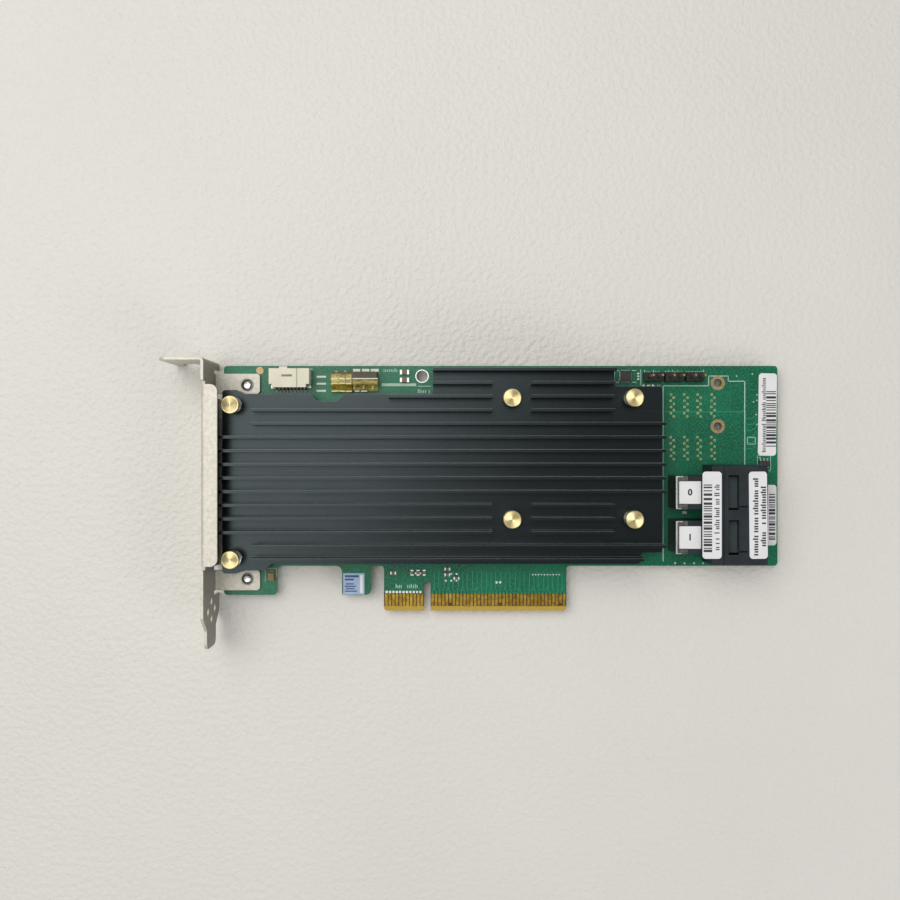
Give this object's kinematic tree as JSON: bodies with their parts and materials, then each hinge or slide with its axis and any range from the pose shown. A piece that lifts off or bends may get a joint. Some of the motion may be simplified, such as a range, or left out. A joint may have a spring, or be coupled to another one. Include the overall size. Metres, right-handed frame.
{
  "type": "raid controller card",
  "caption": "Low-profile storage controller card: green board with edge contacts, steel bracket, finned black heatsink on sprung pins, side-by-side drive ports and headers.",
  "frame": {"origin": "bottom centre of the whole card's box, lying with its component face up", "axes": "+X along the board, away from the bracket, +Y from the contact tab to the board's opposite long edge, +Z out of the component face"},
  "size_m": [0.1702, 0.0792, 0.0184],
  "materials": {
    "solder_mask": "green solder mask over glass-fibre board",
    "gold_contact": "gold-plated copper, polished",
    "bracket_steel": "bright-plated sheet steel",
    "screw_steel": "plated machine screw",
    "black_anodised": "black satin anodised aluminium",
    "pin_brass": "turned brass",
    "spring_steel": "plated spring wire",
    "chip_black": "moulded chip compound",
    "substrate_green": "chip substrate",
    "lid_metal": "plated chip lid",
    "paste_grey": "thermal paste",
    "pad_grey": "soft thermal pad",
    "inductor_grey": "pressed powder inductor",
    "port_black": "moulded glass-filled plastic",
    "clip_steel": "tinned sheet steel",
    "tin": "tinned contact",
    "header_cream": "cream nylon",
    "header_black": "black nylon",
    "pin_gold": "flash-gold header pin",
    "amber_film": "amber polyimide tape",
    "capacitor_tan": "chip capacitor body",
    "capacitor_brown": "moulded tantalum capacitor",
    "label_white": "printed paper label",
    "label_blue": "pale blue film label"
  },
  "bodies": {
    "root": {"amber_tape": "amber_film", "board": "solder_mask", "bracket": "bracket_steel", "bracket_screws": "screw_steel", "cache_header": "header_cream", "cache_header_feet": "tin", "cache_header_pins": "tin", "chip_capacitors_back": "capacitor_tan", "chip_capacitors_front": "capacitor_tan", "chip_part_ends": "tin", "clock_chip": "chip_black", "controller_lid": "lid_metal", "controller_paste": "paste_grey", "controller_substrate": "substrate_green", "edge_contacts_back": "gold_contact", "edge_contacts_front": "gold_contact", "heatsink": "black_anodised", "inductor_1": "inductor_grey", "inductor_2": "inductor_grey", "inductor_3": "inductor_grey", "label_board_lower": "label_white", "label_board_upper": "label_white", "label_hook": "label_blue", "label_port_0": "label_white", "label_port_1": "label_white", "label_port_front": "label_white", "label_port_strip": "label_white", "memory_chip_1": "chip_black", "memory_chip_2": "chip_black", "memory_chip_3": "chip_black", "memory_chip_4": "chip_black", "memory_chip_5": "chip_black", "memory_pad_1": "pad_grey", "memory_pad_2": "pad_grey", "memory_pad_3": "pad_grey", "memory_pad_4": "pad_grey", "memory_pad_5": "pad_grey", "pin_springs": "spring_steel", "port_clip_0": "clip_steel", "port_clip_1": "clip_steel", "port_contacts_0": "gold_contact", "port_contacts_1": "gold_contact", "port_housing": "port_black", "port_insert_0": "port_black", "port_insert_1": "port_black", "port_tails": "tin", "power_stage_1": "chip_black", "power_stage_2": "chip_black", "power_stage_3": "chip_black", "push_pins": "pin_brass", "sensor_chip": "chip_black", "service_header_pins": "pin_gold", "service_headers": "header_black", "signal_header": "header_black", "signal_header_pins": "pin_gold", "tantalum_capacitor": "capacitor_brown"}
  },
  "joints": []
}
